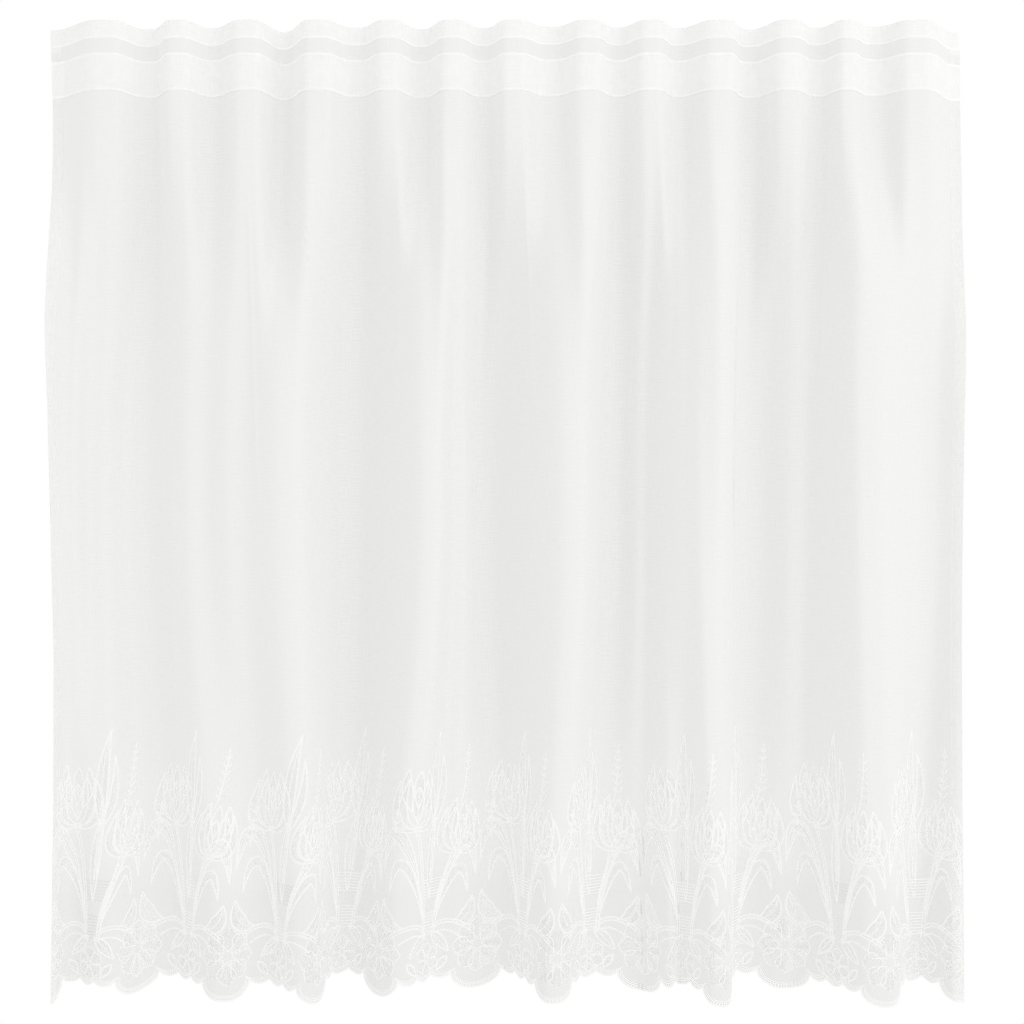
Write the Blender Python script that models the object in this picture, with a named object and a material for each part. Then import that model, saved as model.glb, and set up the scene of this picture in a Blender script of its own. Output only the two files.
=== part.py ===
"""A sheer curtain with a scalloped lace border, hanging in its folds, and the heading tape sewn on its back.

The curtain is one flat panel that is bent, never stretched: u runs across the flat cloth and v runs down
it. At each height a plan curve says how far forward the cloth stands, and the columns of cloth are spread
along that curve by their true distance, so that every height holds the whole flat width.

The origin is the middle of the top edge. X runs across, the front faces -Y and the cloth hangs down -Z.
The tables and sizes are in millimetres, and the meshes are made in metres.
"""

from collections import namedtuple

import bpy
import numpy as np

MM = 0.001

# The flat panel, as it is cut and hemmed
FLAT_WIDTH = 2000.0
DROP = 1450.0
REPEATS = 11
REPEAT = FLAT_WIDTH / REPEATS

# The solids stand for a thin cloth, so they are thicker than it
CLOTH_THICK = 1.2
HEM_EXTRA = 0.8
TAPE_THICK = 1.0
GAP = 0.3

# Hems and heading, measured down from the top edge and in from the sides
TOP_HEM = 27.0
TAPE_TOP = 48.0
TAPE_FOOT = 104.0
SIDE_HEM = 18.0
HEM_STEP = 1.5

# The lower edge of one repeat: a deep lobe at each end of it, and three small scallops between
LOBE_HALF = 42.0
LOBE_DEEP = 26.0
SCALLOPS = 3
SCALLOP_DEEP = 7.0

# Columns in each repeat, and the heights of the rows down to where they start to follow the scallops
COLUMNS_A_REPEAT = 16
ROWS_BELOW_HEADING = (165.0, 235.0, 310.0, 400.0, 520.0, 680.0, 870.0, 1070.0, 1250.0)
ROWS = (0.0, TOP_HEM, TOP_HEM + HEM_STEP, TAPE_FOOT, *ROWS_BELOW_HEADING)
ROWS_AT_FOOT = 2

# Samples of a plan curve, and the width over which the cloth's stiffness rounds it
SAMPLES = 3001
STIFFNESS = 13.0

# Every depth of a height is scaled by one factor, found by halving this range, to hold the flat width
LEAST_SCALE, MOST_SCALE = 0.3, 3.0
FITTING_STEPS = 40

# The waves start to give way to the folds at the heading's foot. The folds have their whole depth at
# FOLDS_GROWN, and stand as the table's middle columns say down to MIDDLE. Their crests lean to the right.
HEADING_FOOT = 90.0
FOLDS_GROWN = 560.0
MIDDLE = 700.0
LEAN = 0.3

# Colours of the threads, and how rough they are
CLOTH_COLOUR = (0.84, 0.85, 0.82)
TAPE_COLOUR = (0.91, 0.91, 0.88)
CLOTH_ROUGHNESS = 0.85
TAPE_ROUGHNESS = 0.8

# Waves of the heading: where each stands across, how far forward, half its level part, and how far below
# the heading it lasts. Even rows stand back and odd rows stand forward.
Wave = namedtuple("Wave", "across forward flat reach")
HEADING_WAVES = (
    Wave(-685, -34, 0, 540),
    Wave(-590, 24, 14, 380),
    Wave(-539, -27, 10, 620),
    Wave(-486, 24, 12, 380),
    Wave(-443, -22, 5, 350),
    Wave(-380, 24, 14, 420),
    Wave(-338, -44, 5, 470),
    Wave(-279, 24, 14, 400),
    Wave(-225, -19, 10, 560),
    Wave(-173, 24, 12, 350),
    Wave(-128, -27, 9, 360),
    Wave(-80, 24, 13, 540),
    Wave(-34, -22, 9, 580),
    Wave(10, 24, 14, 330),
    Wave(67, -15, 10, 390),
    Wave(124, 24, 13, 520),
    Wave(166, -19, 8, 560),
    Wave(216, 24, 13, 350),
    Wave(257, -22, 6, 380),
    Wave(320, 24, 15, 900),
    Wave(366, -28, 10, 500),
    Wave(418, 24, 12, 330),
    Wave(469, -19, 9, 420),
    Wave(502, 24, 10, 440),
    Wave(551, -14, 9, 330),
    Wave(608, 24, 14, 380),
    Wave(681, -48, 0, 500),
)

# Folds below the heading: their places and depths halfway down, and at the lower edge
Fold = namedtuple("Fold", "mid_across mid_forward hem_across hem_forward flat")
FOLDS = (
    Fold(-676, 50, -664, 66, 0),
    Fold(-636, 10, -640, -16, 4),
    Fold(-604, -18, -586, 14, 8),
    Fold(-550, -54, -510, -48, 10),
    Fold(-452, -2, -408, 24, 8),
    Fold(-392, 20, -352, -6, 6),
    Fold(-312, 54, -288, 46, 8),
    Fold(-224, -62, -234, -64, 6),
    Fold(-104, 46, -150, 14, 8),
    Fold(-62, 2, -82, -36, 4),
    Fold(-28, -52, 6, -68, 6),
    Fold(102, 50, 72, 34, 8),
    Fold(176, -52, 150, -46, 6),
    Fold(212, -26, 212, -38, 8),
    Fold(238, 8, 250, 18, 4),
    Fold(262, 34, 272, -4, 4),
    Fold(290, 56, 314, 52, 10),
    Fold(384, -58, 374, -60, 6),
    Fold(448, -30, 436, -46, 8),
    Fold(526, 52, 552, 54, 12),
    Fold(640, -14, 630, -22, 6),
    Fold(683, 4, 666, 26, 0),
)

# The hung cloth's side edges, down the drop: they bow out a little and draw in at the foot
Side = namedtuple("Side", "down left right")
SIDES = (
    Side(0, -685, 681),
    Side(450, -684, 684),
    Side(950, -670, 679),
    Side(1450, -664, 668),
)


def smooth_step(low, high, at):
    """0 below low, 1 above high, and a smooth rise between them."""
    t = np.clip((at - low) / (high - low), 0.0, 1.0)
    return t * t * (3.0 - 2.0 * t)


def through(places, heights, flats, at):
    """The heights, read across: level for a fold's flat on both sides of its place, half cosines between."""
    ends = np.ravel(np.column_stack([places - flats, places + flats]))
    levels = np.repeat(heights, 2)
    k = np.clip(np.searchsorted(ends, at) - 1, 0, len(ends) - 2)
    t = np.clip((at - ends[k]) / np.maximum(ends[k + 1] - ends[k], 1e-6), 0.0, 1.0)
    return levels[k] + (levels[k + 1] - levels[k]) * (1.0 - np.cos(np.pi * t)) / 2.0


def rounded(heights, spacing):
    """The heights with every bend eased, as a cloth of some stiffness bends."""
    reach = int(STIFFNESS / spacing)
    window = np.hanning(2 * reach + 3)[1:-1]
    held = np.pad(heights, reach, mode="edge")
    return np.convolve(held, window / window.sum(), mode="valid")


def forward_at(base, down, lean):
    """How far forward the cloth stands at each base place across, at one height."""
    waves = np.array(HEADING_WAVES, float)
    folds = np.array(FOLDS, float)
    faded = smooth_step(HEADING_FOOT, HEADING_FOOT + waves[:, 3], down) * np.pi / 2.0
    grown = smooth_step(HEADING_FOOT, FOLDS_GROWN, down) * np.pi / 2.0
    waving = through(waves[:, 0], waves[:, 1] * np.cos(faded), waves[:, 2], base)
    hem_share = smooth_step(MIDDLE, DROP, down)
    across = folds[:, 0] + (folds[:, 2] - folds[:, 0]) * hem_share
    depth = folds[:, 1] + (folds[:, 3] - folds[:, 1]) * hem_share
    return waving + np.sin(grown) * through(across - lean * depth, depth, folds[:, 4], base)


def plan_curve(down, u):
    """(x, y) of the cloth at flat places u, at one height: it holds the whole flat width."""
    sides = np.array(SIDES, float)
    left = np.interp(down, sides[:, 0], sides[:, 1])
    right = np.interp(down, sides[:, 0], sides[:, 2])
    base = np.linspace(left, right, SAMPLES)
    lean = LEAN * smooth_step(HEADING_FOOT, MIDDLE, down)
    forward = rounded(forward_at(base, down, lean), base[1] - base[0])
    low, high = LEAST_SCALE, MOST_SCALE
    for _ in range(FITTING_STEPS):
        scale = (low + high) / 2.0
        x = base + lean * scale * (forward - np.interp(base, (left, right), (forward[0], forward[-1])))
        length = np.concatenate([[0.0], np.cumsum(np.hypot(np.diff(x), scale * np.diff(forward)))])
        if length[-1] < FLAT_WIDTH:
            low = scale
        else:
            high = scale
    along = length * FLAT_WIDTH / length[-1]
    return np.interp(u, along, x), -np.interp(u, along, scale * forward)


def foot_of(u):
    """How far down the lower edge reaches at u: round lobes at the repeats' ends, small scallops between."""
    within = np.mod(u, REPEAT)
    to_lobe = np.minimum(within, REPEAT - within)
    lobe = np.sqrt(np.clip(1.0 - (to_lobe / LOBE_HALF) ** 2, 0.0, 1.0)) * LOBE_DEEP
    between = np.clip((within - LOBE_HALF) / (REPEAT - 2.0 * LOBE_HALF), 0.0, 1.0)
    scallop = np.abs(np.sin(np.pi * SCALLOPS * between)) * SCALLOP_DEEP
    return DROP - LOBE_DEEP + np.where(to_lobe < LOBE_HALF, lobe, scallop)


def middle_surface(u, tops):
    """Points of the cloth's middle at columns u, one row for each array of heights in tops, in millimetres."""
    rows = []
    for heights in tops:
        down = np.broadcast_to(heights, u.shape)
        if np.ptp(down) < 1e-9:
            x, y = plan_curve(float(down[0]), u)
        else:
            curves = [plan_curve(level, u) for level in (down.min(), down.max())]
            share = (down - down.min()) / np.ptp(down)
            x, y = ((1.0 - share) * near + share * far for near, far in zip(*curves))
        rows.append(np.stack([x, y, -down], axis=-1))
    return np.array(rows)


def normals_of(points):
    """Unit normals of a grid of points, towards the back."""
    across = np.gradient(points, axis=1)
    down = np.gradient(points, axis=0)
    normals = np.cross(across, down)
    normals /= np.linalg.norm(normals, axis=-1, keepdims=True)
    return normals * np.sign(normals[..., 1].mean())


def closed_sheet(name, points, front, back, material):
    """One closed solid between two offsets of a grid of points: front and back of it, in millimetres.

    Both skins are split along the same diagonals, so that a twisted stretch keeps its thickness.
    """
    rows, columns = points.shape[:2]
    normals = normals_of(points)
    shells = [points - normals * front[..., None], points + normals * back[..., None]]
    vertices = np.concatenate([shell.reshape(-1, 3) for shell in shells]) * MM
    count = rows * columns
    falling = np.linalg.norm(points[1:, 1:] - points[:-1, :-1], axis=-1)
    rising = np.linalg.norm(points[1:, :-1] - points[:-1, 1:], axis=-1)
    faces = []
    for r in range(rows - 1):
        for c in range(columns - 1):
            a = r * columns + c
            below, across, opposite = a + columns, a + 1, a + columns + 1
            if falling[r, c] <= rising[r, c]:
                halves = ((a, below, opposite), (a, opposite, across))
            else:
                halves = ((a, below, across), (below, opposite, across))
            for half in halves:
                faces.append(half)
                faces.append(tuple(count + k for k in reversed(half)))
    top = list(range(columns))
    foot = [(rows - 1) * columns + c for c in reversed(range(columns))]
    right = [r * columns + columns - 1 for r in range(1, rows - 1)]
    left = [r * columns for r in reversed(range(1, rows - 1))]
    rim = top + right + foot + left
    for a, b in zip(rim, rim[1:] + rim[:1]):
        faces.append((a, b, count + b, count + a))
    mesh = bpy.data.meshes.new(name)
    mesh.from_pydata(vertices.tolist(), [], faces)
    mesh.materials.append(material)
    mesh.shade_smooth()
    mesh.validate()
    piece = bpy.data.objects.new(name, mesh)
    bpy.context.collection.objects.link(piece)
    return piece


def cloth_material(name, colour, roughness):
    material = bpy.data.materials.new(name)
    material.use_nodes = True
    shader = material.node_tree.nodes["Principled BSDF"]
    shader.inputs["Base Color"].default_value = (*colour, 1.0)
    shader.inputs["Roughness"].default_value = roughness
    shader.inputs["Metallic"].default_value = 0.0
    return material


def panel_columns():
    """The panel's columns: even ones, but for those beside the edges, which give the side hems their step."""
    u = np.linspace(0.0, FLAT_WIDTH, COLUMNS_A_REPEAT * REPEATS + 1)
    u[1:3] = SIDE_HEM, SIDE_HEM + HEM_STEP
    u[-3:-1] = FLAT_WIDTH - u[2], FLAT_WIDTH - u[1]
    return u


def panel_rows(u):
    """The panel's heights: level rows, then rows that follow the scallops more and more closely."""
    foot = foot_of(u)
    last = ROWS[-1]
    shares = [(k + 1) / (ROWS_AT_FOOT + 1) for k in range(ROWS_AT_FOOT + 1)]
    return [*ROWS, *(last + (foot - last) * share for share in shares)]


def make_panel():
    """The cloth, thicker where its top and sides are turned in and sewn at the back."""
    u = panel_columns()
    tops = panel_rows(u)
    points = middle_surface(u, tops)
    down = np.array([np.broadcast_to(heights, u.shape) for heights in tops])
    from_side = np.minimum(u, FLAT_WIDTH - u)[None, :]
    hemmed = (down <= TOP_HEM) | (from_side <= SIDE_HEM)
    front = np.full(down.shape, CLOTH_THICK / 2.0)
    back = front + HEM_EXTRA * hemmed
    material = cloth_material("sheer_cloth", CLOTH_COLOUR, CLOTH_ROUGHNESS)
    return closed_sheet("curtain_panel", points, front, back, material)


def make_tape():
    """The heading tape, sewn flat on the back of the cloth below its top hem, so it waves with it."""
    u = panel_columns()[2:-2]
    points = middle_surface(u, (TAPE_TOP, TAPE_FOOT))
    near = CLOTH_THICK / 2.0 + GAP
    front = np.full(points.shape[:2], -near)
    back = np.full(points.shape[:2], near + TAPE_THICK)
    material = cloth_material("woven_tape", TAPE_COLOUR, TAPE_ROUGHNESS)
    return closed_sheet("heading_tape", points, front, back, material)


def main():
    for thing in list(bpy.data.objects):
        bpy.data.objects.remove(thing, do_unlink=True)
    make_panel()
    make_tape()


main()
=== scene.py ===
"""A sheer curtain with a scalloped lace border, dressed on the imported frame.

Every piece is worked flat first, as a maker works it: x runs across the flat cloth, y runs up it with 0 at
the top edge, and z stands up from its face. hang() then bends it onto the folds. Tables and sizes that
end in no unit are millimetres of cloth, and the finished meshes are in metres.
"""

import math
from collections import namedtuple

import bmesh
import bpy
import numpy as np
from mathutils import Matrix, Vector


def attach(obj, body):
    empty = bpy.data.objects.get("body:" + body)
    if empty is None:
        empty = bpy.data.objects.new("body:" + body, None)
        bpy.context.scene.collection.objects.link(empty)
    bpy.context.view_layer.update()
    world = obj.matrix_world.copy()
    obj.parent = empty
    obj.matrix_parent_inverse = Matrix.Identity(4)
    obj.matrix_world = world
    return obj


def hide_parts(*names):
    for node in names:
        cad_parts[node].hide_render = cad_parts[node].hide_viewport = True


bl_info = {
    "name": "Lace curtain",
    "version": (1, 0, 0),
    "blender": (4, 5, 0),
    "location": "3D View > Sidebar > Lace curtain",
    "description": "Makes a sheer curtain with a scalloped lace border, hung in its folds",
    "category": "Add Mesh",
}

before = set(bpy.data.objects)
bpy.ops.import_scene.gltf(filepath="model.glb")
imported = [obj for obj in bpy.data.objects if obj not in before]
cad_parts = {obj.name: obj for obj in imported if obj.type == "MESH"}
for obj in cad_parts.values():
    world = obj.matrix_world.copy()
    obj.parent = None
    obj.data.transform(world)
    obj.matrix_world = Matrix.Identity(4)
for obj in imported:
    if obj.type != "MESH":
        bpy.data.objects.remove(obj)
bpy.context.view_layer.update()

MM = 0.001
TURN = 2.0 * math.pi
SHARP_BEND = math.radians(50.0)

# The flat panel
FLAT_WIDTH = 2000.0
DROP = 1450.0
REPEATS = 11
REPEAT = FLAT_WIDTH / REPEATS
TOP_HEM = 27.0
TAPE_TOP = 48.0
TAPE_FOOT = 104.0
SIDE_HEM = 18.0

# The lower edge of one repeat: a deep lobe at each end of it, and three small scallops between
LOBE_HALF = 42.0
LOBE_DEEP = 26.0
SCALLOPS = 3
SCALLOP_DEEP = 7.0
NOTCH_LINE = DROP - LOBE_DEEP

# How a plan curve is worked out, as the frame's solids were
SAMPLES = 3001
STIFFNESS = 13.0
LEAST_SCALE, MOST_SCALE = 0.3, 3.0
FITTING_STEPS = 40
HEADING_FOOT = 90.0
FOLDS_GROWN = 560.0
MIDDLE = 700.0
LEAN = 0.3

# Waves of the heading: where each stands across, how far forward, half its level part, and how far below
# the heading it lasts. Even rows stand back and odd rows stand forward.
Wave = namedtuple("Wave", "across forward flat reach")
HEADING_WAVES = (
    Wave(-685, -34, 0, 540),
    Wave(-590, 24, 14, 380),
    Wave(-539, -27, 10, 620),
    Wave(-486, 24, 12, 380),
    Wave(-443, -22, 5, 350),
    Wave(-380, 24, 14, 420),
    Wave(-338, -44, 5, 470),
    Wave(-279, 24, 14, 400),
    Wave(-225, -19, 10, 560),
    Wave(-173, 24, 12, 350),
    Wave(-128, -27, 9, 360),
    Wave(-80, 24, 13, 540),
    Wave(-34, -22, 9, 580),
    Wave(10, 24, 14, 330),
    Wave(67, -15, 10, 390),
    Wave(124, 24, 13, 520),
    Wave(166, -19, 8, 560),
    Wave(216, 24, 13, 350),
    Wave(257, -22, 6, 380),
    Wave(320, 24, 15, 900),
    Wave(366, -28, 10, 500),
    Wave(418, 24, 12, 330),
    Wave(469, -19, 9, 420),
    Wave(502, 24, 10, 440),
    Wave(551, -14, 9, 330),
    Wave(608, 24, 14, 380),
    Wave(681, -48, 0, 500),
)

# Folds below the heading: their places and depths halfway down, and at the lower edge
Fold = namedtuple("Fold", "mid_across mid_forward hem_across hem_forward flat")
FOLDS = (
    Fold(-676, 50, -664, 66, 0),
    Fold(-636, 10, -640, -16, 4),
    Fold(-604, -18, -586, 14, 8),
    Fold(-550, -54, -510, -48, 10),
    Fold(-452, -2, -408, 24, 8),
    Fold(-392, 20, -352, -6, 6),
    Fold(-312, 54, -288, 46, 8),
    Fold(-224, -62, -234, -64, 6),
    Fold(-104, 46, -150, 14, 8),
    Fold(-62, 2, -82, -36, 4),
    Fold(-28, -52, 6, -68, 6),
    Fold(102, 50, 72, 34, 8),
    Fold(176, -52, 150, -46, 6),
    Fold(212, -26, 212, -38, 8),
    Fold(238, 8, 250, 18, 4),
    Fold(262, 34, 272, -4, 4),
    Fold(290, 56, 314, 52, 10),
    Fold(384, -58, 374, -60, 6),
    Fold(448, -30, 436, -46, 8),
    Fold(526, 52, 552, 54, 12),
    Fold(640, -14, 630, -22, 6),
    Fold(683, 4, 666, 26, 0),
)

# The hung cloth's side edges, down the drop
Side = namedtuple("Side", "down left right")
SIDES = (
    Side(0, -688, 688),
    Side(240, -680, 691),
    Side(450, -679, 689),
    Side(570, -673, 683),
    Side(930, -666, 677),
    Side(1160, -666, 675),
    Side(1450, -668, 676),
)

# Creases and soft ridges that the imported cloth kept, placed across the hung cloth as seen from the
# front: where each starts and ends, how wide its rise is, and how far it stands forward
Crease = namedtuple("Crease", "from_across from_down to_across to_down width forward")
CREASES = (
    Crease(-386, 215, -368, 760, 3.0, 1.4),
    Crease(483, 100, 468, 560, 3.0, 1.3),
    Crease(335, 140, 344, 1440, 5.0, 1.3),
    Crease(25, 150, 43, 600, 3.0, 1.2),
    Crease(148, 180, 118, 500, 3.2, 1.2),
    Crease(-470, 130, -452, 420, 4.0, 1.2),
    Crease(-610, 120, -622, 700, 9.0, 1.6),
    Crease(-150, 130, -168, 640, 8.0, 1.6),
    Crease(262, 130, 238, 520, 7.0, 1.5),
    Crease(592, 160, 604, 900, 9.0, 1.8),
    Crease(-52, 520, -40, 1300, 9.0, 1.4),
    Crease(-500, 600, -486, 1340, 10.0, 1.6),
    Crease(196, 700, 190, 1380, 8.0, 1.4),
    Crease(420, 640, 428, 1320, 10.0, 1.5),
)
CREASE_FADE = 90.0

# One repeat of the lace, in millimetres across from the middle of a lobe and up from the line of the
# notches. A leaf's middle runs from its root to its tip, drawn towards a third point. It is fullest at
# a share of its length.
Leaf = namedtuple("Leaf", "root pull tip width fullest veins")

# A tulip's petals from back to front, for a flower 1 high that stands on (0, 0)
TULIP_PETALS = (
    Leaf((0.0, 0.34), (0.01, 0.70), (0.02, 0.96), 0.17, 0.5, 0),
    Leaf((-0.08, 0.30), (-0.26, 0.64), (-0.16, 1.0), 0.18, 0.5, 0),
    Leaf((0.08, 0.30), (0.27, 0.62), (0.19, 0.95), 0.18, 0.5, 0),
    Leaf((0.02, 0.0), (-0.56, -0.02), (-0.31, 0.82), 0.17, 0.5, 0),
    Leaf((-0.02, 0.0), (0.56, -0.02), (0.31, 0.79), 0.17, 0.5, 0),
    Leaf((0.0, 0.05), (-0.42, 0.08), (-0.14, 0.86), 0.15, 0.5, 0),
    Leaf((0.0, 0.05), (0.42, 0.08), (0.15, 0.82), 0.15, 0.5, 0),
    Leaf((0.0, 0.10), (0.0, 0.38), (0.0, 0.70), 0.21, 0.55, 1),
)
Bloom = namedtuple("Bloom", "across up height tilt")
TULIPS = (Bloom(56, 226, 94, 3), Bloom(143, 184, 82, -4))

# Stems: one thread, or two that stand a gap apart
Stem = namedtuple("Stem", "root pull tip gap")
STEMS = (
    Stem((85, 60), (84, 150), (56, 226), 4.5),
    Stem((110, 60), (112, 136), (143, 184), 4.5),
    Stem((99, 150), (95, 190), (99, 235), 3.5),
    Stem((140, 256), (149, 270), (154, 346), 0.0),
    Stem((24, 196), (20, 216), (22, 258), 0.0),
    # Low sprays that sweep out on both sides of the stems
    Stem((85, 72), (60, 92), (26, 66), 4.5),
    Stem((110, 72), (136, 92), (172, 64), 4.5),
    Stem((83, 62), (62, 74), (40, 54), 0.0),
    Stem((112, 62), (134, 74), (156, 52), 0.0),
)

LEAVES = (
    # Blades between the tulips
    Leaf((99, 226), (84, 300), (99, 372), 18, 0.42, 1),
    Leaf((100, 230), (119, 276), (108, 334), 12, 0.45, 0),
    Leaf((97, 118), (91, 190), (101, 256), 15, 0.45, 1),
    # Arching leaves, which droop outwards
    Leaf((86, 88), (18, 306), (4, 166), 20, 0.6, 2),
    Leaf((83, 84), (30, 240), (20, 132), 14, 0.55, 0),
    Leaf((110, 88), (158, 284), (178, 146), 19, 0.6, 2),
    Leaf((113, 84), (148, 214), (163, 122), 13, 0.55, 0),
    # Broad leaves low down on both sides
    Leaf((44, 80), (10, 80), (8, 122), 24, 0.5, 1),
    Leaf((140, 78), (172, 78), (172, 116), 23, 0.5, 1),
    # A fan of leaves at the foot of the stems
    Leaf((92, 66), (76, 54), (58, 34), 16, 0.5, 1),
    Leaf((104, 66), (120, 54), (136, 34), 16, 0.5, 1),
    # Small leaves that fill the ground between the flowers
    Leaf((54, 26), (62, 18), (70, 6), 11, 0.5, 0),
    Leaf((134, 26), (126, 18), (118, 6), 11, 0.5, 0),
)

# Round flowers of many petals: rings of petals about a middle, the widest ring first
Ring = namedtuple("Ring", "inner outer petals width")
Flower = namedtuple("Flower", "across up rings")
FLOWERS = (
    Flower(2, 40, (Ring(7, 42, 8, 31),)),
    Flower(96, 26, (Ring(3, 25, 6, 20),)),
)

PETAL_FULLEST = 0.6

# Sprigs of buds, in pairs up a stem
Sprig = namedtuple("Sprig", "root tip pairs bud")
SPRIGS = (Sprig((149, 270), (153, 330), 6, 13.0), Sprig((21, 210), (22, 248), 4, 12.0))

# How far a bud turns from its stem in radians, how far off the stem it starts, and the share by which the
# last one is shorter
BUD_TURN, BUD_CLEAR, BUD_SHORTER = 0.75, 1.5, 0.4

# Bars across the gap between two stems: the stems' order in the table and the heights that the bars fill
Ladder = namedtuple("Ladder", "left right foot top")
LADDERS = (Ladder(0, 1, 64, 98), Ladder(0, 1, 120, 150))
BAR_PITCH = 4.6

# How far apart the points of a leaf's middle are, the fewest and the most of its steps, and how many points
# a stem and a side of a ladder have
LEAF_STEP, LEAF_STEPS = 5.5, (7, 34)
STEM_POINTS, SIDE_POINTS = 15, 61

# Where the camera stands, which is how a place across the picture becomes a place across the cloth
CAMERA_ACROSS = 9.0
CAMERA_AWAY = 2500.0
CAMERA_DOWN = 727.0
LENS = 58.99
SENSOR = 36.0

# The grid on which the folded cloth is worked out, and over how many of its rows a crease's place is evened
GRID_ACROSS = 1.0
GRID_DOWN = 7.25
EVENED_ROWS = 9

# Layers on the sheet, by their height from it
LAYER_STEP = 0.02
LAYERS = 8
HEM_FRONT, HEM_BACK = -0.34, -0.60
TAPE_FRONT, TAPE_BACK = -0.55, -1.2
SELVEDGE_RAISED, SELVEDGE_WIDE, SELVEDGE_SLOPE = 0.15, 2.4, 0.6

# How far the folded edges of the hem and the tape bulge out, and how far in from the cloth's own side and
# lower edges the side hems end
HEM_BULGE, TAPE_BULGE = 0.2, 0.3
SIDE_TURN, FOOT_TURN = 0.4, 0.6

# How far in from the cloth's sides the top hem, the tape and the rows of stitches start, and how far apart
# the sections of the hem and the tape are
HEM_IN, TAPE_IN, ROW_IN = 0.5, 20.0, 3.0
HEM_STEP, TAPE_STEP = 5.5, 5.0

# How far in from their edges the rows of stitches run
HEM_STITCH_IN = 2.0
TAPE_STITCH_IN = 2.5

# A stitch's middle from the sheet, and its depth through the layers, in a hem and in the tape
HEM_STITCH_MIDDLE, HEM_STITCH_DEPTH = -0.2, 1.1
TAPE_STITCH_MIDDLE, TAPE_STITCH_DEPTH = -0.45, 1.9

# How far past the line of the notches the side hems' stitches run
SIDE_ROW_PAST = 16.0

# How far in the edging's three threads run, and how thick its bars are as a share of a vein
EDGING_IN = (1.0, 5.5, 8.0)
BAR_SHARE = 0.8

# How many points the edging has along half a lobe, and how many steps along a scallop
HALF_LOBE_POINTS, EDGING_STEPS = 15, 10

# How far in from the cloth's edges the lace is cut off under the side hems
LACE_CUT = 1.5

# Where the lace's ground net starts down the cloth, how much its start rises and falls, and how softly
NET_DOWN = 1270.0
NET_SWELL = 16.0
NET_TURN = 0.9
NET_SOFT = 30.0

# Weaves: the pitch of each in metres, how fine and how long the slubs of an uneven yarn are for each metre,
# how much of the light the hems and the tape hold back, and how far a weave's own threads change that
VOILE_PITCH, YARN_PITCH, GROUND_PITCH, TAPE_PITCH = 0.0006, 0.0011, 0.0013, 0.0010
SLUB_FINE, SLUB_LONG = 900.0, 45.0
HEM_FULLNESS, TAPE_FULLNESS = 0.24, 0.42
THREAD_SWING = 0.12

# How much a doubled band adds to the sheer's fullness and to its painted glow, and how much a row of
# stitches adds to the band
BAND_SHARE, EDGE_SHARE = 0.09, 0.15

# How softly a doubled band starts, and how much a side hem counts beside the top hem
BAND_SOFT, SIDE_SHARE = 0.5, 0.6

# How far apart the ground net's meshes are in metres, and where across one its threads start and are full
NET_PITCH = 0.0045
NET_THREAD = (0.75, 0.2)

# The blue of the painted glow that stands in for light through yarn, as a share of its red and green
WARMTH = 0.985

# How wide a sewn edge shows, and how far apart the points of a row of stitches are
SEWN_WIDE, SEWN_NARROW = 2.2, 1.2
ROW_STEP = 6.0

# The stage
FLOOR_DOWN = 1750.0
FLOOR_REACH = 6.0
KEY_PLACE = (4.3, -4.3, 1.1)
KEY_AIM = (0.0, 0.0, -0.7)
KEY_SIZE = 3.7
KEY_POWER = 104.0


def smooth_step(low, high, at):
    """0 below low, 1 above high, and a smooth rise between them."""
    t = np.clip((at - low) / (high - low), 0.0, 1.0)
    return t * t * (3.0 - 2.0 * t)


def through(places, heights, flats, at):
    """The heights read across: level for a fold's flat about its place, and half cosines between."""
    ends = np.ravel(np.column_stack([places - flats, places + flats]))
    levels = np.repeat(heights, 2)
    k = np.clip(np.searchsorted(ends, at) - 1, 0, len(ends) - 2)
    t = np.clip((at - ends[k]) / np.maximum(ends[k + 1] - ends[k], 1e-6), 0.0, 1.0)
    return levels[k] + (levels[k + 1] - levels[k]) * (1.0 - np.cos(np.pi * t)) / 2.0


def rounded(heights, spacing):
    """The heights with every bend eased, as a cloth of some stiffness bends."""
    reach = int(STIFFNESS / spacing)
    window = np.hanning(2 * reach + 3)[1:-1]
    held = np.pad(heights, reach, mode="edge")
    return np.convolve(held, window / window.sum(), mode="valid")


def forward_at(base, down, lean):
    """How far forward the cloth stands at each base place across, at one height."""
    waves = np.array(HEADING_WAVES, float)
    folds = np.array(FOLDS, float)
    faded = smooth_step(HEADING_FOOT, HEADING_FOOT + waves[:, 3], down) * np.pi / 2.0
    grown = smooth_step(HEADING_FOOT, FOLDS_GROWN, down) * np.pi / 2.0
    waving = through(waves[:, 0], waves[:, 1] * np.cos(faded), waves[:, 2], base)
    hem_share = smooth_step(MIDDLE, DROP, down)
    across = folds[:, 0] + (folds[:, 2] - folds[:, 0]) * hem_share
    depth = folds[:, 1] + (folds[:, 3] - folds[:, 1]) * hem_share
    return waving + np.sin(grown) * through(across - lean * depth, depth, folds[:, 4], base)


def plan_curve(down, u):
    """(x, y) of the cloth at flat places u, at one height: it holds the whole flat width."""
    sides = np.array(SIDES, float)
    left = np.interp(down, sides[:, 0], sides[:, 1])
    right = np.interp(down, sides[:, 0], sides[:, 2])
    base = np.linspace(left, right, SAMPLES)
    lean = LEAN * smooth_step(HEADING_FOOT, MIDDLE, down)
    forward = rounded(forward_at(base, down, lean), base[1] - base[0])
    low, high = LEAST_SCALE, MOST_SCALE
    for _ in range(FITTING_STEPS):
        scale = (low + high) / 2.0
        x = base + lean * scale * (forward - np.interp(base, (left, right), (forward[0], forward[-1])))
        length = np.concatenate([[0.0], np.cumsum(np.hypot(np.diff(x), scale * np.diff(forward)))])
        if length[-1] < FLAT_WIDTH:
            low = scale
        else:
            high = scale
    along = length * FLAT_WIDTH / length[-1]
    return np.interp(u, along, x), -np.interp(u, along, scale * forward)


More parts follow.
